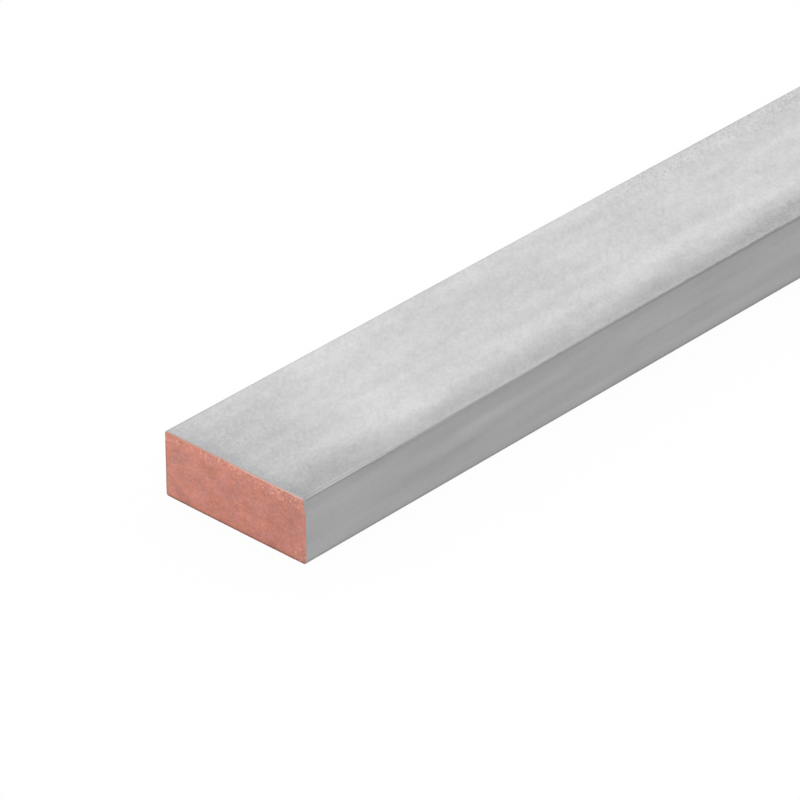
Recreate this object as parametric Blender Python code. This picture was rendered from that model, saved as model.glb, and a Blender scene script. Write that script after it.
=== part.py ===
"""Tinned copper busbar, cut to a stock length.

A flat bar of solid copper, drawn through a die with lightly rounded long edges and coated
with tin. It was sawn square to length afterwards, so both cut faces are bare copper, with
the burr taken off all round. Units are metres. The bar runs along X and lies on Z = 0 on
one broad face, with its origin under its middle.
"""

import math

import bmesh
import bpy

# Stock size
BAR_LENGTH = 1.000
BAR_WIDTH = 0.025
BAR_THICKNESS = 0.010

# Edges
LONG_EDGE_RADIUS = 0.0005
CUT_ARRIS = 0.0002
FACETS_PER_LONG_EDGE = 6

# Finishes: linear colour, roughness and metallic value
TIN_COLOUR = (0.64, 0.64, 0.64, 1.0)
TIN_ROUGHNESS = 0.45
COPPER_COLOUR = (0.56, 0.24, 0.19, 1.0)
COPPER_ROUGHNESS = 0.55
METALLIC = 1.0

# Widest slope, in degrees, that is shaded as one smooth surface
SMOOTH_SHADING_ANGLE = 30.0

# Distance from a plane at which a point still counts as lying on it
ON_PLANE = 1e-6


def clear_scene():
    for obj in list(bpy.data.objects):
        bpy.data.objects.remove(obj, do_unlink=True)


def metal(name, colour, roughness):
    material = bpy.data.materials.new(name)
    material.use_nodes = True
    shader = material.node_tree.nodes["Principled BSDF"]
    shader.inputs["Base Color"].default_value = colour
    shader.inputs["Roughness"].default_value = roughness
    shader.inputs["Metallic"].default_value = METALLIC
    return material


def section_outline():
    """Points (y, z) of the drawn section, anticlockwise: a quarter circle at each long edge,
    joined by the flats."""
    side = BAR_WIDTH / 2 - LONG_EDGE_RADIUS
    bottom = LONG_EDGE_RADIUS
    top = BAR_THICKNESS - LONG_EDGE_RADIUS
    arc_centres = [(side, top), (-side, top), (-side, bottom), (side, bottom)]
    outline = []
    for quarter, (centre_y, centre_z) in enumerate(arc_centres):
        for facet in range(FACETS_PER_LONG_EDGE + 1):
            angle = math.pi / 2 * (quarter + facet / FACETS_PER_LONG_EDGE)
            y = centre_y + LONG_EDGE_RADIUS * math.cos(angle)
            z = centre_z + LONG_EDGE_RADIUS * math.sin(angle)
            outline.append((y, z))
    return outline


def draw_bar(bar):
    """The section, extruded over the length between the chamfers of the two cuts."""
    drawn_length = BAR_LENGTH - 2 * CUT_ARRIS
    start = [bar.verts.new((-drawn_length / 2, y, z)) for y, z in section_outline()]
    section = bar.faces.new(start)
    drawn = bmesh.ops.extrude_face_region(bar, geom=[section])
    end = [item for item in drawn["geom"] if isinstance(item, bmesh.types.BMVert)]
    bmesh.ops.translate(bar, verts=end, vec=(drawn_length, 0.0, 0.0))
    bmesh.ops.recalc_face_normals(bar, faces=bar.faces[:])


def chamfer_cuts(bar):
    """Each end face, drawn in and pushed out by the same amount, which leaves a chamfer
    round the cut face and brings the bar to its full length."""
    ends = [face for face in bar.faces if abs(face.normal.x) > 0.5]
    bmesh.ops.inset_region(
        bar,
        faces=ends,
        thickness=CUT_ARRIS,
        depth=CUT_ARRIS,
        use_boundary=True,
        use_even_offset=True,
    )


def bare_the_copper(bar, copper_slot):
    """Each cut face and its chamfer lie past the tin coat."""
    tin_ends_at = BAR_LENGTH / 2 - CUT_ARRIS
    for face in bar.faces:
        if all(abs(vert.co.x) > tin_ends_at - ON_PLANE for vert in face.verts):
            face.material_index = copper_slot


def make_busbar():
    bar = bmesh.new()
    draw_bar(bar)
    chamfer_cuts(bar)

    mesh = bpy.data.meshes.new("busbar")
    mesh.materials.append(metal("tin_coat", TIN_COLOUR, TIN_ROUGHNESS))
    mesh.materials.append(metal("bare_copper", COPPER_COLOUR, COPPER_ROUGHNESS))
    bare_the_copper(bar, mesh.materials.find("bare_copper"))
    bar.to_mesh(mesh)
    bar.free()
    mesh.shade_smooth()
    mesh.set_sharp_from_angle(angle=math.radians(SMOOTH_SHADING_ANGLE))

    busbar = bpy.data.objects.new("busbar", mesh)
    bpy.context.scene.collection.objects.link(busbar)
    return busbar


clear_scene()
make_busbar()
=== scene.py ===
"""The look of a tinned copper busbar: its drawn and sawn surface, its two metals, a studio and a camera.

Units are metres. The bar lies along X on the floor, and the cut end at -X faces the camera.
"""

import math

import bpy
import numpy as np
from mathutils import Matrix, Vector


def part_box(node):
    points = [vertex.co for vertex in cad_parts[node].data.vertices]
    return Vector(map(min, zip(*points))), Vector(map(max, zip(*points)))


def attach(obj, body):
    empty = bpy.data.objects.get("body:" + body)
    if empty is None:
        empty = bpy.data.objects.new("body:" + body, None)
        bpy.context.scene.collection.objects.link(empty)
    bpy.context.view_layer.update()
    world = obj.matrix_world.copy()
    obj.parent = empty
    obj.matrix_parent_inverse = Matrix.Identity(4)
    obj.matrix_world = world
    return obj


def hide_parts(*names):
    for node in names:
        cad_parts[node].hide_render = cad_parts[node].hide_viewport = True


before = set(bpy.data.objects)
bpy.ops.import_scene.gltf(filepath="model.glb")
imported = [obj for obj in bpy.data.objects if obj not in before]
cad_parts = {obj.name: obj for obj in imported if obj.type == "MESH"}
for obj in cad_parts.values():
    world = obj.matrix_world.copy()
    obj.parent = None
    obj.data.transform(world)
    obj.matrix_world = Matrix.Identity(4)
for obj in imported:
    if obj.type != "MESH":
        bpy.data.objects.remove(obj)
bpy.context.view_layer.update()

# The bar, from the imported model, and the piece that stands for it
BAR = "busbar"
PIECE = "tinned_bar"
LOW, HIGH = (np.array(corner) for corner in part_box(BAR))
LENGTH, WIDTH, THICKNESS = HIGH - LOW
MIDDLE = (LOW + HIGH) / 2
MM = 0.001

# Edges: the long ones, and the arris round each cut. The arris wanders in size by waves round the
# section, a few of which are enough together for the whole wander.
LONG_EDGE_RADIUS = 0.5 * MM
ARRIS = 0.2 * MM
ARRIS_WANDER = 0.1
ARRIS_WAVES = (2, 5, 9, 17, 31, 52)
WAVES_FOR_WHOLE_WANDER = 3

# Steps of the surface: round the section, along the bar, and over each rounded cut edge
WIDTH_STEPS = 112
THICKNESS_STEPS = 42
HALF_ARC_STEPS = 3
LENGTH_STEPS = 250
END_CROWDING = 2.1
ARRIS_STEPS = 4

# Relief of the drawn faces. Counts and turns are of waves round the section, and lengths run along
# the bar. The power keeps the shoulder's drop to the flat of the broad faces.
DIE_LINES = 26
DIE_LINE_COUNTS = (18, 110)
DIE_LINE_HEIGHT = 0.0012 * MM
DIE_LINE_WANDER = (0.5, 2.0)
BOWS = 12
BOW_TURNS = (0, 7)
BOW_LENGTHS = (90 * MM, 420 * MM)
BOW_HEIGHT = 0.002 * MM
SHOULDER = 5.0 * MM
SHOULDER_DROP = 0.04 * MM
BROAD_FACE_POWER = 8

# Relief of the cut faces. Its mean lies under the cut by a share of its waves' summed heights. The
# spread is of the saw lines' headings, in radians, and the power fades the relief in over the arris.
SAW_LINES = 18
SAW_LINE_LENGTHS = (0.55 * MM, 1.6 * MM)
SAW_LINE_HEIGHT = 0.0018 * MM
SAW_TILT = math.radians(12)
TORN_WAVES = 30
TORN_LENGTHS = (0.7 * MM, 4.0 * MM)
TORN_HEIGHT = 0.0022 * MM
HEADING_SPREAD = 0.1
RELIEF_SINK = 1 / 4
ARRIS_RELIEF_POWER = 4

# Random draws: their seeds, and the span of their phases
DRAWN_SEED = 11
SAWN_SEED = 23
ARRIS_SEED = 37
PHASES = (0, 6)

# Colours, linear. Those that a tone multiplies have no alpha.
TIN = (0.46, 0.46, 0.46)
COPPER = (0.613, 0.276, 0.230)
ORANGE_COPPER = (0.636, 0.264, 0.182)
GLINT_COPPER = (0.88, 0.51, 0.37, 1.0)
TOP_EDGE_HIGHLIGHT_COPPER = (0.72, 0.53, 0.47, 1.0)
SMEARED_EDGE = (0.45, 0.40, 0.38, 1.0)
SMEARED_TIN = (0.37, 0.37, 0.37, 1.0)
HEAT_TINTED_TIN = (0.436, 0.458, 0.464)
WHITE = (1.0, 1.0, 1.0, 1.0)
PAPER = (0.9, 0.9, 0.9, 1.0)

# Span of the raw noise that a pattern stretches to -1 and 1
NOISE_SPAN = (0.25, 0.75)

# Patterns in the tin: size of the grain, its octaves, and how it is turned and drawn out. The
# coat was wiped askew, which draws out what lies on the broad faces.
WIPED = {"turn": (0.0, 0.0, math.radians(-42.0)), "stretch": (1.7, 1.0, 1.0)}
TIN_PATTERNS = {
    "drifts": {"size": 3.2 * MM, "detail": 1.5, "stretch": (4.0, 1.0, 1.0)},
    "clouds": {"size": 1.3 * MM, "detail": 1.5, **WIPED},
    "grain": {"size": 0.50 * MM, "detail": 0.5, **WIPED},
    "dust": {"size": 0.22 * MM, "detail": 0.5, **WIPED},
    "bands": {"size": 5.0 * MM, "detail": 1.0, "stretch": (7.0, 1.0, 1.0)},
    "streaks": {
        "size": 2.2 * MM,
        "detail": 1.5,
        "stretch": (7.0, 1.0, 1.0),
        "turn": (0, math.radians(2.5), 0),
    },
    "long_streaks": {"size": 1.1 * MM, "detail": 1.0, "stretch": (50.0, 1.0, 1.0)},
}

# How much each pattern changes the tin's tone, roughness, height and heat tint
BROAD_TONE = {"drifts": 0.060, "clouds": 0.080, "grain": 0.080, "dust": 0.025, "bands": 0.01}
SPECKLE = {"grain": 0.03, "dust": 0.08}
NARROW_TONE = {"streaks": 0.055, "long_streaks": 0.022, "grain": 0.022, "dust": 0.015}
TIN_ROUGHNESS = 0.48
TIN_ROUGHNESS_PATTERN = {"clouds": 0.03, "grain": 0.03, "streaks": 0.02}
TIN_HEIGHT = {"clouds": 0.5, "grain": 0.25}
TIN_BUMP = 0.01 * MM
HEAT_TINT = 0.55
HEAT_TINT_PATTERN = {"clouds": 0.4}

# Curves are stops of a place in millimetres and a height. These give the tone of the broad faces by
# the place across them, with painted shade on the -Y shoulder, and by the way from the cut, darker
# near it; of the narrow ones by the height, painted shade that keeps them darker than the broad faces;
# and by that way; and of a long edge by the way over it, which grows from the broad face to the narrow
# one, a painted shade line along the edge.
ACROSS_TONE = (
    (-12.5, 0.72), (-12.0, 0.73), (-11.0, 0.765), (-10.0, 0.81), (-9.0, 0.87), (-8.0, 0.935), (-7.0, 0.985),
    (-6.0, 1.02), (-5.0, 1.03), (-4.0, 1.015), (-2.0, 0.99), (1.0, 1.0), (4.0, 0.98), (7.0, 0.985),
    (10.0, 1.02), (12.5, 1.03),
)
NARROW_HEIGHT_SHADE = (
    (0.0, 0.90), (0.7, 0.925), (1.5, 0.945), (2.5, 0.915), (3.5, 0.89), (6.0, 0.89), (7.2, 0.89),
    (8.2, 0.845), (9.2, 0.800), (10.0, 0.80),
)
CUT_TONE = (
    (0.0, 0.82), (3.0, 0.855), (6.0, 0.885), (10.0, 0.905), (14.0, 0.95), (18.0, 0.98), (24.0, 1.04),
    (32.0, 1.01), (45.0, 0.985), (60.0, 0.975), (80.0, 1.0),
)
NARROW_CUT_TONE = ((0.0, 1.02), (6.0, 1.05), (12.0, 1.02), (20.0, 0.99), (80.0, 0.99))
# Painted shade: a darker line over each long edge other than the ridge
EDGE_SHADE = (
    (-1.0, 1.0), (-0.6, 1.0), (-0.4, 0.97), (-0.1, 0.92), (0.2, 0.80), (0.35, 0.82), (0.5, 0.93),
    (0.7, 1.0), (1.0, 1.0),
)

# Smooth steps in the tin, each from where it starts to where it is whole. These go by the way from
# the cut.
LINE_FURTHER = (5.0 * MM, 22.0 * MM)
LINE_FAR = (64.0 * MM, 82.0 * MM)
FAR_ALONG = (75.0 * MM, 100.0 * MM)
BESIDE_CUT = (16.0 * MM, 10.0 * MM)
HEATED_BROAD = (2.0 * MM, 0.9 * MM)
HEATED_NARROW = (0.9 * MM, 0.3 * MM)
SHOULDER_WAY = (70.0 * MM, 95.0 * MM)
FLANK_WAY = (58.0 * MM, 74.0 * MM)
FOOT_WAY = (40.0 * MM, 70.0 * MM)

# These go by the place across, and the foot of the narrow faces by the height
SHOULDER_PLACE = (-7.0 * MM, -10.5 * MM)
FLANK_PLACE = (-4.5 * MM, -6.5 * MM)
FAR_RIM_PLACE = (7.5 * MM, 9.5 * MM)
HEATED_PLACE = (9.0 * MM, 6.0 * MM)
FOOT_PLACE = (2.0 * MM, 0.0)

# Changes of tone where those steps are whole, and how much of the speckle is beside the cut. The
# shoulder's change and the foot's are painted shade.
SHOULDER_SHADE_CHANGE = -0.125
FLANK_CHANGE = -0.04
FAR_RIM_CHANGE = -0.065
HEATED_CHANGE = -0.06
FOOT_CHANGE = -0.08
SPECKLE_BESIDE_CUT = 0.35

# The ridge, which is the top long edge on the -Y side: how much light each place over it gets, the
# tone of its painted highlight and shade line, a pale line above a dark one, at the cut, further along
# and far along, and by the way from the cut how many millimetres the line creeps up the edge
RIDGE_TOP_LIGHT = 1.34
RIDGE_SIDE_LIGHT = 0.89
RIDGE_LIGHT = (
    (-1.0, 1.34), (-0.5, 1.34), (-0.385, 1.35), (-0.19, 1.22), (0.0, 0.985), (0.19, 0.915), (0.385, 0.89),
    (0.6, 0.89), (1.0, 0.89),
)
RIDGE_HIGHLIGHT_AND_SHADE = (
    (-1.2, 1.0), (-0.8, 1.03), (-0.6, 1.14), (-0.4, 1.06), (-0.24, 1.10), (-0.1, 1.33), (0.03, 1.29),
    (0.12, 1.0), (0.21, 0.80), (0.31, 0.84), (0.44, 0.96), (0.6, 1.01), (0.78, 1.01), (1.2, 1.0),
)
RIDGE_HIGHLIGHT_AND_SHADE_FURTHER = (
    (-1.2, 1.0), (-0.8, 1.03), (-0.5, 1.07), (-0.2, 1.07), (0.0, 1.01), (0.2, 0.96), (0.4, 0.91),
    (0.6, 0.935), (0.8, 0.97), (1.0, 0.99), (1.2, 1.0),
)
RIDGE_HIGHLIGHT_AND_SHADE_FAR = (
    (-1.2, 1.0), (-0.8, 1.04), (-0.6, 1.05), (-0.4, 1.07), (-0.25, 1.12), (-0.1, 1.15), (0.0, 1.08),
    (0.1, 0.93), (0.2, 0.84), (0.3, 0.82), (0.4, 0.86), (0.6, 0.92), (0.8, 0.95), (1.0, 0.985), (1.2, 1.0),
)
RIDGE_CREEP = (
    (0.0, 0.0), (10.0, 0.0), (18.0, 0.045), (30.0, 0.175), (42.0, 0.255), (54.0, 0.483), (66.0, 0.565),
    (78.0, 0.66), (86.0, 0.635), (120.0, 0.635),
)

# The change from broad to narrow tone over every long edge: its width in millimetres by the way from
# the cut, where its middle lies at the cut and further along, and its span about that, in widths
CHANGE_WIDTH = (
    (0.0, 0.14), (10.0, 0.14), (18.0, 0.30), (28.0, 0.50), (38.0, 0.74), (50.0, 0.66), (64.0, 0.50),
    (75.0, 0.24), (86.0, 0.08), (120.0, 0.08),
)
CHANGE_MIDDLES = (0.07 * MM, 0.04 * MM)
CHANGE_SPAN = (-0.5, 0.5)

# How much the patterns make the ridge's painted highlight and shade line and the tone across the broad
# faces waver
RIDGE_WOBBLE = {"clouds": 0.07 * MM, "grain": 0.07 * MM}
RIDGE_WOBBLE_AT_CUT = 0.35
WAVY = {"drifts": 0.3 * MM, "clouds": 0.2 * MM}

# Marks on the narrow faces: start and end by the way from the cut, middle and half width by the
# height, and change of tone
MARKS = (
    (15 * MM, 36 * MM, 4.4 * MM, 1.1 * MM, -0.055),
    (26 * MM, 54 * MM, 6.7 * MM, 1.3 * MM, 0.05),
    (60 * MM, 86 * MM, 5.0 * MM, 0.5 * MM, -0.08),
)
MARK_FADE = 6 * MM

# Patterns in the sawn copper
COPPER_PATTERNS = {
    "mottle": {"size": 1.7 * MM, "detail": 1.0, "stretch": (1.0, 1.7, 1.0)},
    "patches": {"size": 0.5 * MM, "detail": 1.0, "stretch": (1.0, 1.5, 1.0)},
    "fine": {"size": 0.22 * MM, "detail": 1.0},
    "hue": {"size": 2.1 * MM, "detail": 2.0, "shift": (0.0, 0.4, 0.0)},
    "scratches": {
        "size": 0.3 * MM,
        "detail": 1.0,
        "stretch": (1.0, 5.0, 1.0),
        "turn": (SAW_TILT, 0.0, 0.0),
    },
    "specks": {"size": 0.34 * MM, "detail": 1.0, "shift": (0.0, 0.0, 0.7)},
}

# How much each pattern changes the copper, its tone by the height, which is painted light and shade,
# darker at the foot and lighter under the top edge, and its tone by the place across it
COPPER_TONE = {"mottle": 0.115, "patches": 0.09, "fine": 0.07, "scratches": 0.04}
COPPER_HEIGHT_TONE = (
    (0.0, 0.90), (0.5, 0.94), (1.5, 0.99), (3.0, 0.99), (5.0, 0.96), (7.0, 0.955), (8.5, 1.0), (9.2, 1.015),
    (10.0, 1.015),
)
COPPER_ACROSS_TONE = ((-12.5, 0.97), (-10.0, 0.945), (-8.0, 0.96), (-5.0, 0.985), (0.0, 1.0), (12.5, 0.995))
COPPER_ROUGHNESS = 0.5
COPPER_ROUGHNESS_PATTERN = {"mottle": 0.03, "patches": 0.03}
COPPER_HEIGHT = {"patches": 0.5, "fine": 0.3}
COPPER_BUMP = 0.015 * MM

# Smooth steps in the sawn copper, each from where it starts to where it is whole. These go by the
# place across. The front is the -Y side, and the back is the +Y side.
FRONT_HALF = (3.0 * MM, -3.0 * MM)
BACK_HALF = (0.0, 5.0 * MM)
LOW_CORNER_PLACE = (-8.5 * MM, -11.0 * MM)
FRONT_STRIP = (-8.5 * MM, -11.5 * MM)

# These go by the height
UPPER_PART = (7.0 * MM, 9.0 * MM)
LOW_CORNER_HEIGHT = (3.2 * MM, 1.5 * MM)
GLINTS_TOP_AT_BACK = (8.3 * MM, 9.2 * MM)
GLINTS_TOP_AT_FRONT = (7.4 * MM, 8.7 * MM)
TOP_EDGE_HIGHLIGHT_STRIP = (HIGH[2] - 0.42 * MM, HIGH[2] - 0.30 * MM)
SMEARED_STRIP = (HIGH[2] - 0.22 * MM, HIGH[2] - 0.12 * MM)
DARK_FOOT = (LOW[2] + 0.5 * MM, LOW[2] + 0.1 * MM)

# These go by the way in from the narrow face, and from the nearest face of all
DARK_SIDE = (0.35 * MM, 0.10 * MM)
ORANGE_RIM = (1.5 * MM, 0.5 * MM)

# These go by a pattern: where it makes a painted glint, a bright speck, and where it turns the copper
# orange
SPECK = (0.2, 0.8)
ORANGE_HUE = (-0.6, 0.95)
RIM_ORANGE_HUE = (-1.2, 0.5)

# Shares at a mask's 0 and at its 1: the upper part's, the painted highlight strip's and the smeared
# strip's from back to front, the glint specks' from the middle to the rim, and the orange's from the
# lower part up
UPPER_SHARES = (0.4, 1.0)
TOP_EDGE_HIGHLIGHT_SHARES = (0.15, 1.0)
SMEARED_SHARES = (0.8, 1.0)
GLINT_SHARES = (0.2, 0.68)
ORANGE_SHARES = (0.7, 0.9)

# The most orange that the rim gets, how much less of it the front strip has, and how dark the painted
# shade at the foot and along the back edge is
RIM_ORANGE = 0.8
FRONT_STRIP_CHANGE = -0.7
COPPER_EDGE_SHADE_CHANGE = -0.5

# The corner where tin was smeared down over the copper lies past a line, which goes through these
# heights at these places across
CORNER_HEIGHTS = (7.2 * MM, 9.6 * MM)
CORNER_PLACES = (-12.5 * MM, -12.15 * MM)
CORNER_BLUR = (0.05 * MM, -0.05 * MM)

# Greatest height that a curve can hold
CURVE_TOP = 2.0

# Floor: its size, its gap under the bar, how far its painted contact shadow reaches, and how white it
# is to the camera and in reflections
FLOOR_HALF_WIDTH = 4.0
FLOOR_GAP = 0.05 * MM
CONTACT_REACH = 0.5 * MM
WHITE_TO_CAMERA = 0.96
WHITE_IN_REFLECTIONS = 0.5

# Softboxes, square, aimed at the same point as the camera
SOFTBOXES = {
    "back_softbox": {
        "heading": math.radians(222.0),
        "elevation": math.radians(40.0),
        "distance": 1.5,
        "size": 1.2,
        "radiance": 0.75,
    },
    "left_softbox": {
        "heading": math.radians(-30.0),
        "elevation": math.radians(25.0),
        "distance": 1.2,
        "size": 0.8,
        "radiance": 0.3,
    },
}

# Camera: long lens, aimed at a point on the floor near the cut end
LENS_MM = 250.0
SENSOR_MM = 36.0
CLIP_START = 0.01
CAMERA_DISTANCE = 0.7427
CAMERA_HEADING = math.radians(42.605)
CAMERA_ELEVATION = math.radians(30.980)
AIM = (-0.46165, 0.00644, 0.0)


def section_loop():
    """Once round the section, anticlockwise seen from +X, from the middle of the rounded (+y, +z) edge.

    Returns arrays p, q and angle. A point of the loop is the centre (p * half width, q * half
    thickness) of the edge's rounding, pushed out by the radius along (cos angle, sin angle). On an
    edge the angle turns and the centre stays. On a flat the centre travels and the angle stays.
    """
    corners = np.array([(1, 1), (-1, 1), (-1, -1), (1, -1)], float)
    turning = np.linspace(0.0, 1.0, HALF_ARC_STEPS, endpoint=False)
    centres, angles = [], []
    for side in range(4):
        steps = WIDTH_STEPS if side % 2 == 0 else THICKNESS_STEPS
        travel = np.linspace(0.0, 1.0, steps, endpoint=False)
        way = np.concatenate([0 * turning, travel, 1 + 0 * turning])[:, None]
        turn = np.concatenate([turning, 1 + 0 * travel, 1 + turning])
        centres.append(corners[side] * (1 - way) + corners[(side + 1) % 4] * way)
        angles.append(math.pi / 2 * (side + 0.5) + math.pi / 4 * turn)
    centres = np.concatenate(centres)
    return centres[:, 0], centres[:, 1], np.concatenate(angles)


def section_points(loop, depth):
    """(y, z) of the loop sunk by depth: centre + (radius - depth) * (cos angle, sin angle)."""
    p, q, angle = loop
    y = p * (WIDTH / 2 - LONG_EDGE_RADIUS) + (LONG_EDGE_RADIUS - depth) * np.cos(angle)
    z = q * (THICKNESS / 2 - LONG_EDGE_RADIUS) + (LONG_EDGE_RADIUS - depth) * np.sin(angle)
    return MIDDLE[1] + y, MIDDLE[2] + z


def waves(a, b, rng, count, lengths, height, heading=None):
    """Sum of sines over the plane (a, b): height * sin(2 pi (a cos h + b sin h) / length + phase).

    Each wave draws its length evenly in its logarithm, its heading h, which is any direction or near
    the one given, and its phase.
    """
    total = np.zeros(np.broadcast(a, b).shape)
    for _ in range(count):
        length = math.exp(rng.uniform(math.log(lengths[0]), math.log(lengths[1])))
        turn = rng.uniform(0, 2 * math.pi) if heading is None else heading + rng.normal(0, HEADING_SPREAD)
        phase = rng.uniform(0, 2 * math.pi)
        total += height * np.sin(2 * math.pi * (a * math.cos(turn) + b * math.sin(turn)) / length + phase)
    return total


def drawn_relief(x, around, loop):
    """How deep the drawn surface lies under the bar's true section, never below zero.

    Die lines: sines with a whole number of periods round the section, whose phase wanders slowly
    along x. Bows: long sines along x that also turn round the section. Shoulders: on the broad
    faces, a drop that grows with the square of the way into the last SHOULDER of the width.
    """
    rng = np.random.default_rng(DRAWN_SEED)
    depth = np.zeros(np.broadcast(x, around).shape)
    for _ in range(DIE_LINES):
        count = rng.integers(*DIE_LINE_COUNTS)
        amount = rng.uniform(*DIE_LINE_WANDER)
        wander = amount * np.sin(2 * math.pi * x / rng.uniform(*BOW_LENGTHS) + rng.uniform(*PHASES))
        depth += DIE_LINE_HEIGHT * np.sin(2 * math.pi * count * around + wander + rng.uniform(*PHASES))
    for _ in range(BOWS):
        turns = rng.integers(*BOW_TURNS)
        along = 2 * math.pi * x / rng.uniform(*BOW_LENGTHS)
        depth += BOW_HEIGHT * np.sin(2 * math.pi * turns * around + along + rng.uniform(*PHASES))
    depth -= depth.min()
    p, _, angle = loop
    broad = np.abs(np.sin(angle)) ** BROAD_FACE_POWER
    into = np.clip((np.abs(p) - 1) * WIDTH / 2 + SHOULDER, 0, None) / SHOULDER
    return depth + SHOULDER_DROP * broad * into**2


def sawn_relief(y, z, end):
    """How deep the cut face lies under the bar's end, never below zero: the mean sink, plus the waves
    of the saw lines, which all head across it, plus the waves of torn metal, which head every way."""
    rng = np.random.default_rng(SAWN_SEED + end)
    lines = waves(y, z, rng, SAW_LINES, SAW_LINE_LENGTHS, SAW_LINE_HEIGHT, SAW_TILT)
    torn = waves(y, z, rng, TORN_WAVES, TORN_LENGTHS, TORN_HEIGHT)
    sink = RELIEF_SINK * (SAW_LINES * SAW_LINE_HEIGHT + TORN_WAVES * TORN_HEIGHT)
    return np.clip(sink + lines + torn, 0, None)


def arris_size(around, end):
    """Size of the deburred cut edge round the section: ARRIS, less up to twice ARRIS_WANDER of it, by a
    sum of sines with whole numbers of periods."""
    rng = np.random.default_rng(ARRIS_SEED + end)
    size = np.zeros_like(around)
    for count in ARRIS_WAVES:
        size += np.sin(2 * math.pi * count * around + rng.uniform(*PHASES)) / WAVES_FOR_WHOLE_WANDER
    return ARRIS * (1 - ARRIS_WANDER + ARRIS_WANDER * np.clip(size, -1, 1))


def ring_stack(loop):
    """All rings from the near cut face to the far one, as an array of rings x loop points x 3.

    Body rings crowd towards the cuts: x = reach * tanh(k t) / tanh(k). Each cut edge is a quarter
    round of rings: with s the arris size and f its angle, x is s * (1 - sin f) short of the cut face
    and the section is drawn in by s * (1 - cos f). The saw's relief fades in with a power of sin f.
    """
    around = np.arange(len(loop[0])) / len(loop[0])
    sizes = {end: arris_size(around, end) for end in (0, 1)}
    t = np.tanh(END_CROWDING * np.linspace(-1, 1, LENGTH_STEPS + 1)) / math.tanh(END_CROWDING)
    t = t[:, None]
    reach = LENGTH / 2 - np.where(t < 0, sizes[0], sizes[1])
    x = t * reach
    depth = drawn_relief(x, around[None, :], loop)
    y, z = section_points(loop, depth)
    body = np.stack([MIDDLE[0] + x, y, z], axis=-1)

    edges = {}
    for end, sign in ((0, -1), (1, 1)):
        angle = np.linspace(0, math.pi / 2, ARRIS_STEPS + 1)[1:, None]
        last = depth[0] if end == 0 else depth[-1]
        y, z = section_points(loop, last + sizes[end] * (1 - np.cos(angle)))
        sawn = np.sin(angle) ** ARRIS_RELIEF_POWER * sawn_relief(y, z, end)
        sink = sizes[end] * (1 - np.sin(angle)) + sawn
        edges[end] = np.stack([MIDDLE[0] + sign * (LENGTH / 2 - sink), y, z], axis=-1)
    return np.concatenate([edges[0][::-1], body, edges[1]])


def borders(ring):
    """The steps across and down a cut face, and the four sides of its ring from corner to corner: the
    top, the -y side, the bottom and the +y side, each from +y to -y or from the top down."""
    wide = WIDTH_STEPS + 2 * HALF_ARC_STEPS
    tall = THICKNESS_STEPS + 2 * HALF_ARC_STEPS
    top = ring[: wide + 1]
    left = ring[wide : wide + tall + 1]
    bottom = ring[wide + tall : 2 * wide + tall + 1][::-1]
    right = np.take(ring, np.arange(2 * wide + tall, 2 * (wide + tall) + 1), axis=0, mode="wrap")[::-1]
    return wide, tall, top, left, bottom, right


def patch(ring, end):
    """Grid over a cut face whose border is a ring: a Coons patch.

    A point is the blend of the two long borders, plus the blend of the two short borders, less the
    blend of the four corners. Its x is then set by the saw's relief.
    """
    wide, tall, top, left, bottom, right = borders(ring)
    u = np.linspace(0, 1, wide + 1)[:, None, None]
    v = np.linspace(0, 1, tall + 1)[None, :, None]
    grid = (1 - v) * top[:, None] + v * bottom[:, None] + (1 - u) * right[None] + u * left[None]
    grid -= (1 - u) * ((1 - v) * top[0] + v * bottom[0]) + u * ((1 - v) * top[-1] + v * bottom[-1])
    sign = -1 if end == 0 else 1
    inner = grid[1:-1, 1:-1]
    inner[..., 0] = MIDDLE[0] + sign * (LENGTH / 2 - sawn_relief(inner[..., 1], inner[..., 2], end))
    return inner


def quads_between(first, second):
    """Quads joining two rings of vertex numbers, ring by ring, closed round the loop."""
    corners = [first, np.roll(first, -1, -1), np.roll(second, -1, -1), second]
    return np.stack(corners, axis=-1).reshape(-1, 4)


def patch_quads(ring, inner_start):
    """Quads of a cut face: its border takes the ring's vertex numbers, and its inside new ones."""
    wide, tall, top, left, bottom, right = borders(ring)
    number = np.empty((wide + 1, tall + 1), int)
    number[:, 0] = top
    number[-1, :] = left
    number[:, -1] = bottom
    number[0, :] = right
    number[1:-1, 1:-1] = inner_start + np.arange((wide - 1) * (tall - 1)).reshape(wide - 1, tall - 1)
    corners = [number[:-1, :-1], number[1:, :-1], number[1:, 1:], number[:-1, 1:]]
    return np.stack(corners, axis=-1).reshape(-1, 4)


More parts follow.
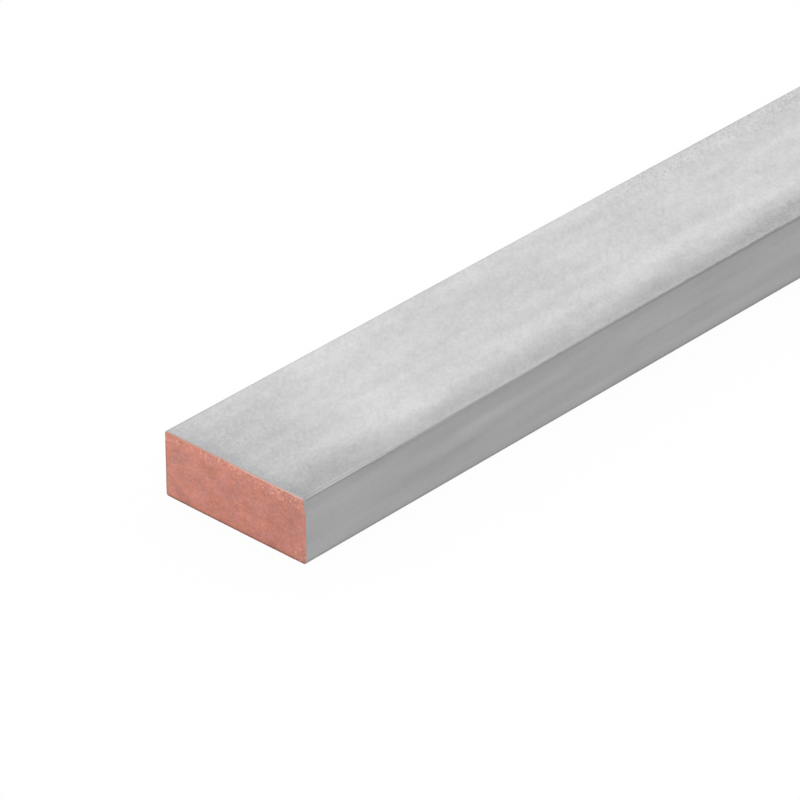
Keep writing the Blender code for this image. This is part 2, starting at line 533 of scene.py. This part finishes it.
def make_bar(tin, copper):
    """The whole bar as one closed mesh: rings carried along it, and a patch over each cut face."""
    loop = section_loop()
    stack = ring_stack(loop)
    rings, around = stack.shape[:2]
    near, far = patch(stack[0], 0), patch(stack[-1], 1)
    points = np.concatenate([stack.reshape(-1, 3), near.reshape(-1, 3), far.reshape(-1, 3)])

    number = np.arange(rings * around).reshape(rings, around)
    walls = quads_between(number[:-1], number[1:])
    near_start = rings * around
    near_cap = patch_quads(number[0], near_start)[:, ::-1]
    far_cap = patch_quads(number[-1], near_start + near[..., 0].size)
    quads = np.concatenate([walls, near_cap, far_cap])

    mesh = bpy.data.meshes.new(PIECE)
    mesh.from_pydata(points.tolist(), [], quads.tolist())
    mesh.materials.append(tin)
    mesh.materials.append(copper)
    ring_of_wall = np.repeat(np.arange(rings - 1), around)
    sawn = (ring_of_wall < ARRIS_STEPS) | (ring_of_wall >= rings - 1 - ARRIS_STEPS)
    slots = np.concatenate([sawn.astype(int), np.ones(len(near_cap) + len(far_cap), int)])
    mesh.polygons.foreach_set("material_index", slots)
    mesh.shade_smooth()
    mesh.update()
    bar = bpy.data.objects.new(PIECE, mesh)
    bpy.context.scene.collection.objects.link(bar)
    return bar


def add(tree, kind, inputs=None, **settings):
    """A shader node with its settings. Each input gets a value, or a link where it is a socket."""
    node = tree.nodes.new(kind)
    for name, value in settings.items():
        setattr(node, name, value)
    for name, value in (inputs or {}).items():
        if isinstance(value, bpy.types.NodeSocket):
            tree.links.new(value, node.inputs[name])
        else:
            node.inputs[name].default_value = value
    return node


def calc(tree, operation, *values):
    """The result of one sum on the values, which are numbers or sockets."""
    return add(tree, "ShaderNodeMath", dict(enumerate(values)), operation=operation).outputs[0]


def ease(tree, value, start, end, high=1.0):
    """0 before start, high after end, and a smooth step between."""
    inputs = {0: value, 1: start, 2: end, 3: 0.0, 4: high}
    return add(tree, "ShaderNodeMapRange", inputs, interpolation_type="SMOOTHSTEP").outputs[0]


def rescaled(tree, value, start, end, low, high):
    """The straight line that takes start to low and end to high."""
    inputs = {0: value, 1: start, 2: end, 3: low, 4: high}
    return add(tree, "ShaderNodeMapRange", inputs, clamp=False).outputs[0]


def share(tree, mask, at_zero, at_one):
    """The straight line from at_zero where the mask is 0 to at_one where it is 1."""
    return rescaled(tree, mask, 0.0, 1.0, at_zero, at_one)


def noise(tree, place, size, detail, turn=(0.0, 0.0, 0.0), stretch=(1.0, 1.0, 1.0), shift=(0.0, 0.0, 0.0)):
    """Noise from about -1 to 1 whose blobs are size across, drawn out along axes turned by turn."""
    turned = add(tree, "ShaderNodeMapping", {"Vector": place, "Rotation": turn, "Location": shift})
    scale = tuple(1 / (size * s) for s in stretch)
    scaled = add(tree, "ShaderNodeVectorMath", {0: turned.outputs[0], 1: scale}, operation="MULTIPLY")
    raw = add(tree, "ShaderNodeTexNoise", {"Vector": scaled.outputs[0], "Scale": 1.0, "Detail": detail})
    return rescaled(tree, raw.outputs[0], *NOISE_SPAN, -1.0, 1.0)


def product(tree, *factors):
    """All the factors multiplied."""
    total = factors[0]
    for factor in factors[1:]:
        total = calc(tree, "MULTIPLY", total, factor)
    return total


def weigh(tree, base, patterns, amounts):
    """base, plus each pattern times its amount."""
    total = base
    for name, amount in amounts.items():
        total = calc(tree, "MULTIPLY_ADD", patterns[name], amount, total)
    return total


def changed(tree, change, *masks):
    """1 where a mask is 0, and 1 + change where all of them are 1."""
    return calc(tree, "MULTIPLY_ADD", product(tree, *masks), change, 1.0)


def curve(tree, value, stops):
    """A smooth curve through the stops (place in millimetres, height), read at value in metres. It is
    a colour ramp, which holds each height as a share of CURVE_TOP."""
    (low, first), *between, (high, last) = stops
    where = rescaled(tree, value, low * MM, high * MM, 0.0, 1.0)
    node = add(tree, "ShaderNodeValToRGB", {0: where})
    node.color_ramp.interpolation = "CARDINAL"
    elements = node.color_ramp.elements
    for element, height in ((elements[0], first), (elements[1], last)):
        element.color = (height / CURVE_TOP,) * 3 + (1.0,)
    for place, height in between:
        elements.new((place - low) / (high - low)).color = (height / CURVE_TOP,) * 3 + (1.0,)
    return calc(tree, "MULTIPLY", node.outputs[0], CURVE_TOP)


def mix(tree, share_of_second, first, second):
    """The first number where the share is 0, and the second where it is 1."""
    return add(tree, "ShaderNodeMix", {0: share_of_second, 2: first, 3: second}).outputs[0]


def mix_colours(tree, share_of_second, first, second):
    """The first colour where the share is 0, and the second where it is 1."""
    inputs = {0: share_of_second, 6: first, 7: second}
    return add(tree, "ShaderNodeMix", inputs, data_type="RGBA").outputs[2]


def tinted(tree, colour, tone):
    """The colour times the tone."""
    return add(tree, "ShaderNodeVectorMath", {0: colour, "Scale": tone}, operation="SCALE").outputs[0]


def new_metal(name, roughness):
    """A new material of plain metal, with its node tree and its shader."""
    material = bpy.data.materials.new(name)
    material.use_nodes = True
    shader = material.node_tree.nodes["Principled BSDF"]
    shader.inputs["Metallic"].default_value = 1.0
    shader.inputs["Roughness"].default_value = roughness
    return material, material.node_tree, shader


def finish_metal(tree, shader, colour, roughness, height, distance):
    """Links the colour, the roughness and a bump whose height is in units of distance."""
    bump = add(tree, "ShaderNodeBump", {"Height": height, "Distance": distance, "Strength": 1.0})
    tree.links.new(colour, shader.inputs["Base Color"])
    tree.links.new(roughness, shader.inputs["Roughness"])
    tree.links.new(bump.outputs[0], shader.inputs["Normal"])


def ways_in(tree, y, z):
    """How far a point lies in from the narrow face nearest to it, and from the broad one."""
    from_narrow = calc(tree, "SUBTRACT", WIDTH / 2, calc(tree, "ABSOLUTE", y))
    height = calc(tree, "ABSOLUTE", calc(tree, "SUBTRACT", z, MIDDLE[2]))
    return from_narrow, calc(tree, "SUBTRACT", THICKNESS / 2, height)


def marks(tree, along, height):
    """A factor for the tone: soft-ended lines that run along the bar, each at one height."""
    total = 1.0
    for start, end, middle, half_width, change in MARKS:
        off = calc(tree, "ABSOLUTE", calc(tree, "SUBTRACT", height, middle))
        begun = ease(tree, along, start, start + MARK_FADE)
        ends = product(tree, begun, ease(tree, along, end, end - MARK_FADE))
        mark = changed(tree, change, ends, ease(tree, off, half_width, 0.0))
        total = calc(tree, "MULTIPLY", total, mark)
    return total


def edge_of_tin(tree, patterns, y, z, from_cut, from_narrow, from_broad):
    """How far a point belongs to the narrow face, from 0 to 1, and the tone of its long edge, which is
    painted light and shade.

    The first is a smooth step over the edge. The second is a curve of painted shade over the edge, but on
    the ridge it is a painted highlight above a painted shade line, mixed from three curves by the way from
    the cut. The line wobbles with the patterns and creeps up the edge, and takes the step along. So that
    the light follows the step too, the line is multiplied by the light that the step calls for and divided
    by the light that the place gets.
    """
    further = ease(tree, from_cut, *LINE_FURTHER)
    ridge = product(tree, calc(tree, "GREATER_THAN", z, MIDDLE[2]), calc(tree, "LESS_THAN", y, 0.0))
    over = calc(tree, "SUBTRACT", from_broad, from_narrow)
    loosened = share(tree, further, RIDGE_WOBBLE_AT_CUT, 1.0)
    wobble = product(tree, weigh(tree, 0.0, patterns, RIDGE_WOBBLE), loosened)
    creep = calc(tree, "MULTIPLY_ADD", curve(tree, from_cut, RIDGE_CREEP), MM, wobble)
    crept = calc(tree, "MULTIPLY_ADD", creep, ridge, over)

    width = calc(tree, "MULTIPLY", curve(tree, from_cut, CHANGE_WIDTH), MM)
    past_middle = calc(tree, "SUBTRACT", crept, mix(tree, further, *CHANGE_MIDDLES))
    narrow = ease(tree, calc(tree, "DIVIDE", past_middle, width), *CHANGE_SPAN)

    far = ease(tree, from_cut, *LINE_FAR)
    # The ridge's painted highlight and shade line
    line = mix(tree, far, curve(tree, crept, RIDGE_HIGHLIGHT_AND_SHADE_FURTHER), curve(tree, crept, RIDGE_HIGHLIGHT_AND_SHADE_FAR))
    line = mix(tree, further, curve(tree, crept, RIDGE_HIGHLIGHT_AND_SHADE), line)
    wanted_light = mix(tree, narrow, RIDGE_TOP_LIGHT, RIDGE_SIDE_LIGHT)
    lit = calc(tree, "DIVIDE", wanted_light, curve(tree, over, RIDGE_LIGHT))
    # Off the ridge the edge gets painted shade; on it, the painted highlight and shade line
    return narrow, mix(tree, ridge, curve(tree, over, EDGE_SHADE), calc(tree, "MULTIPLY", line, lit))


def tin_material():
    """Matt tin: the tone of the broad faces or of the narrow ones, times the painted light and shade of the
    edges.

    The broad faces have clouds and grain, a darker stretch beside each cut, and painted shade on the
    shoulder of the -Y side. Far along, the shoulder and the flank beside it are darker, and the shoulder
    and the other rim are speckled. The narrow faces are painted darker than the broad ones as shade,
    most under the ridge, and have long streaks, a few marks, and painted shade at the foot far along.
    Right at the cut the colour turns to that of heated tin.
    """
    material, tree, shader = new_metal("matt_tin", TIN_ROUGHNESS)
    place = add(tree, "ShaderNodeTexCoord").outputs["Object"]
    x, y, z = add(tree, "ShaderNodeSeparateXYZ", {0: place}).outputs
    patterns = {name: noise(tree, place, **settings) for name, settings in TIN_PATTERNS.items()}
    from_narrow, from_broad = ways_in(tree, y, z)
    from_cut = calc(tree, "SUBTRACT", LENGTH / 2, calc(tree, "ABSOLUTE", x))
    narrow, edge_light_and_shade = edge_of_tin(tree, patterns, y, z, from_cut, from_narrow, from_broad)

    shoulder = ease(tree, y, *SHOULDER_PLACE)
    far_along = ease(tree, from_cut, *FAR_ALONG)
    far_rim = product(tree, ease(tree, y, *FAR_RIM_PLACE), far_along)
    speckled = calc(tree, "MAXIMUM", far_rim, product(tree, shoulder, far_along))
    beside_cut = ease(tree, from_cut, *BESIDE_CUT, SPECKLE_BESIDE_CUT)
    speckled = calc(tree, "MAXIMUM", speckled, beside_cut)
    texture = weigh(tree, 0.0, patterns, BROAD_TONE)
    speckle = product(tree, weigh(tree, 0.0, patterns, SPECKLE), speckled)
    heated = ease(tree, from_cut, *HEATED_BROAD)
    broad_tone = product(
        tree,
        calc(tree, "ADD", calc(tree, "ADD", texture, 1.0), speckle),
        # Tone across the broad faces: painted shade, darker towards the -Y shoulder
        curve(tree, weigh(tree, y, patterns, WAVY), ACROSS_TONE),
        curve(tree, from_cut, CUT_TONE),
        changed(tree, FAR_RIM_CHANGE, far_rim),
        # Painted shade on the -Y shoulder, far along
        changed(tree, SHOULDER_SHADE_CHANGE, shoulder, ease(tree, from_cut, *SHOULDER_WAY)),
        changed(tree, FLANK_CHANGE, ease(tree, y, *FLANK_PLACE), ease(tree, from_cut, *FLANK_WAY)),
        changed(tree, HEATED_CHANGE, heated, ease(tree, y, *HEATED_PLACE)),
    )
    narrow_tone = product(
        tree,
        # Narrow faces: painted shade by the height, darker than the broad faces and most under the ridge
        weigh(tree, curve(tree, z, NARROW_HEIGHT_SHADE), patterns, NARROW_TONE),
        curve(tree, from_cut, NARROW_CUT_TONE),
        # Painted shade at the foot, where the bar meets the floor, far along
        changed(tree, FOOT_CHANGE, ease(tree, z, *FOOT_PLACE), ease(tree, from_cut, *FOOT_WAY)),
        marks(tree, from_cut, z),
    )
    tone = product(tree, mix(tree, narrow, broad_tone, narrow_tone), edge_light_and_shade)

    tint_reach = mix(tree, narrow, heated, ease(tree, from_cut, *HEATED_NARROW))
    heat_tint = product(tree, tint_reach, weigh(tree, HEAT_TINT, patterns, HEAT_TINT_PATTERN))
    finish_metal(
        tree,
        shader,
        mix_colours(tree, heat_tint, tinted(tree, TIN, tone), tinted(tree, HEAT_TINTED_TIN, tone)),
        weigh(tree, TIN_ROUGHNESS, patterns, TIN_ROUGHNESS_PATTERN),
        weigh(tree, 0.0, patterns, TIN_HEIGHT),
        TIN_BUMP,
    )
    return material


def orange_of_copper(tree, hue, y, upper, from_rim):
    """How orange the copper is, from 0 to 1: as the hue pattern has it, a little more in the upper part,
    or as a wider span of the pattern has it along the rim if that is more, and less in the front strip."""
    inside = product(tree, ease(tree, hue, *ORANGE_HUE), share(tree, upper, *ORANGE_SHARES))
    along_rim = product(tree, ease(tree, from_rim, *ORANGE_RIM), ease(tree, hue, *RIM_ORANGE_HUE))
    along_rim = calc(tree, "MULTIPLY", along_rim, RIM_ORANGE)
    fewer = changed(tree, FRONT_STRIP_CHANGE, ease(tree, y, *FRONT_STRIP))
    return product(tree, calc(tree, "MAXIMUM", inside, along_rim), fewer)


def copper_material():
    """Sawn copper: a mottled tone with painted light and shade, darker at the foot and along the back
    edge and lighter under the top edge, on a colour between pink and orange.

    Four layers lie over it, each over the one before: painted glints as bright specks, most of them
    under the front half of the top edge and in the low front corner, a painted highlight line under the
    top edge, the edge itself, smeared grey, and the upper front corner, where the tin was smeared down.
    """
    material, tree, shader = new_metal("sawn_copper", COPPER_ROUGHNESS)
    place = add(tree, "ShaderNodeTexCoord").outputs["Object"]
    _, y, z = add(tree, "ShaderNodeSeparateXYZ", {0: place}).outputs
    patterns = {name: noise(tree, place, **settings) for name, settings in COPPER_PATTERNS.items()}
    from_narrow, from_broad = ways_in(tree, y, z)
    front = ease(tree, y, *FRONT_HALF)

    tone = product(
        tree,
        weigh(tree, 1.0, patterns, COPPER_TONE),
        # Painted light and shade by the height: darker at the foot, lighter under the top edge
        curve(tree, z, COPPER_HEIGHT_TONE),
        curve(tree, y, COPPER_ACROSS_TONE),
        # Painted shade along the bottom edge and the back edge of the cut face
        changed(tree, COPPER_EDGE_SHADE_CHANGE, ease(tree, z, *DARK_FOOT)),
        changed(tree, COPPER_EDGE_SHADE_CHANGE, ease(tree, from_narrow, *DARK_SIDE), ease(tree, y, *BACK_HALF)),
    )
    upper = product(tree, ease(tree, z, *UPPER_PART), share(tree, front, *UPPER_SHARES))
    from_rim = calc(tree, "MINIMUM", from_narrow, from_broad)
    orange = orange_of_copper(tree, patterns["hue"], y, upper, from_rim)
    colour = mix_colours(tree, orange, tinted(tree, COPPER, tone), tinted(tree, ORANGE_COPPER, tone))

    low_corner = product(tree, ease(tree, z, *LOW_CORNER_HEIGHT), ease(tree, y, *LOW_CORNER_PLACE))
    under_top = mix(tree, front, ease(tree, z, *GLINTS_TOP_AT_BACK), ease(tree, z, *GLINTS_TOP_AT_FRONT))
    rim = calc(tree, "MAXIMUM", under_top, low_corner)
    # Painted glints: bright specks of copper colour
    torn = product(tree, ease(tree, patterns["specks"], *SPECK), share(tree, rim, *GLINT_SHARES))
    colour = mix_colours(tree, torn, colour, GLINT_COPPER)

    # Painted highlight: a pale line under the top edge of the cut face
    top_edge_highlight = product(tree, ease(tree, z, *TOP_EDGE_HIGHLIGHT_STRIP), share(tree, front, *TOP_EDGE_HIGHLIGHT_SHARES))
    colour = mix_colours(tree, top_edge_highlight, colour, TOP_EDGE_HIGHLIGHT_COPPER)
    smeared = product(tree, ease(tree, z, *SMEARED_STRIP), share(tree, front, *SMEARED_SHARES))
    colour = mix_colours(tree, smeared, colour, SMEARED_EDGE)
    line = rescaled(tree, z, *CORNER_HEIGHTS, *CORNER_PLACES)
    corner = ease(tree, calc(tree, "SUBTRACT", y, line), *CORNER_BLUR)
    finish_metal(
        tree,
        shader,
        mix_colours(tree, corner, colour, SMEARED_TIN),
        weigh(tree, COPPER_ROUGHNESS, patterns, COPPER_ROUGHNESS_PATTERN),
        weigh(tree, 0.0, patterns, COPPER_HEIGHT),
        COPPER_BUMP,
    )
    return material


def white_share(tree):
    """How much of the floor is plain white: nearly all of it to the camera, half of it in reflections,
    and none of it to other rays."""
    path = add(tree, "ShaderNodeLightPath").outputs
    mirrored = calc(tree, "MAXIMUM", path["Is Glossy Ray"], path["Is Transmission Ray"])
    rays = {"camera": path["Is Camera Ray"], "mirrored": mirrored}
    return weigh(tree, 0.0, rays, {"camera": WHITE_TO_CAMERA, "mirrored": WHITE_IN_REFLECTIONS})


def make_floor():
    """A white floor. What isn't plain white on it is lit paper, which keeps the object's shadow. In
    reflections the white is darkened by ambient occlusion, a painted contact shadow in the narrow gap
    where the object touches down."""
    half = FLOOR_HALF_WIDTH
    corners = [(-half, -half, 0), (half, -half, 0), (half, half, 0), (-half, half, 0)]
    mesh = bpy.data.meshes.new("floor")
    mesh.from_pydata(corners, [], [(0, 1, 2, 3)])
    floor = bpy.data.objects.new("floor", mesh)
    floor.location.z = LOW[2] - FLOOR_GAP
    bpy.context.scene.collection.objects.link(floor)
    material = bpy.data.materials.new("white_floor")
    material.use_nodes = True
    tree = material.node_tree
    tree.nodes.clear()
    paper = add(tree, "ShaderNodeBsdfDiffuse", {"Color": PAPER}).outputs[0]
    # Painted contact shadow: ambient occlusion darkens the white seen in reflections
    contact_shadow = add(tree, "ShaderNodeAmbientOcclusion", {"Distance": CONTACT_REACH}).outputs["AO"]
    to_camera = add(tree, "ShaderNodeLightPath").outputs["Is Camera Ray"]
    strength = calc(tree, "MAXIMUM", contact_shadow, to_camera)
    white = add(tree, "ShaderNodeEmission", {"Color": WHITE, "Strength": strength}).outputs[0]
    mixed = add(tree, "ShaderNodeMixShader", {0: white_share(tree), 1: paper, 2: white}).outputs[0]
    add(tree, "ShaderNodeOutputMaterial", {"Surface": mixed})
    material.cycles.emission_sampling = "NONE"
    mesh.materials.append(material)


def make_world():
    """An even white light from all round."""
    world = bpy.data.worlds.new("studio")
    bpy.context.scene.world = world
    world.use_nodes = True
    background = world.node_tree.nodes["Background"]
    background.inputs["Color"].default_value = WHITE
    background.inputs["Strength"].default_value = 1.0


def aim_from(obj, heading, elevation, distance):
    """Places obj at AIM less distance times the way it looks, with its -Z axis along that way. heading
    is that way seen from above, and elevation is how far it points down."""
    flat = math.cos(elevation)
    look = np.array([flat * math.cos(heading), flat * math.sin(heading), -math.sin(elevation)])
    obj.location = np.array(AIM) - distance * look
    obj.rotation_euler = (math.pi / 2 - elevation, 0.0, heading - math.pi / 2)


def softbox(name, heading, elevation, distance, size, radiance):
    """A square lamp that looks at AIM. Its power is its radiance times pi times its area."""
    lamp = bpy.data.lights.new(name, "AREA")
    lamp.shape = "SQUARE"
    lamp.size = size
    lamp.energy = radiance * math.pi * size * size
    box = bpy.data.objects.new(name, lamp)
    aim_from(box, heading, elevation, distance)
    bpy.context.scene.collection.objects.link(box)


def make_camera():
    """The camera that sees what the photograph shows."""
    data = bpy.data.cameras.new("camera")
    data.lens = LENS_MM
    data.sensor_width = SENSOR_MM
    data.clip_start = CLIP_START
    camera = bpy.data.objects.new("camera", data)
    aim_from(camera, CAMERA_HEADING, CAMERA_ELEVATION, CAMERA_DISTANCE)
    bpy.context.scene.collection.objects.link(camera)
    bpy.context.scene.camera = camera


def main():
    """Makes the camera, the bar and the studio."""
    bpy.context.scene.view_settings.view_transform = "Standard"
    make_camera()
    bar = make_bar(tin_material(), copper_material())
    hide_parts(BAR)
    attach(bar, "root")
    make_floor()
    make_world()
    for name, settings in SOFTBOXES.items():
        softbox(name, **settings)


main()
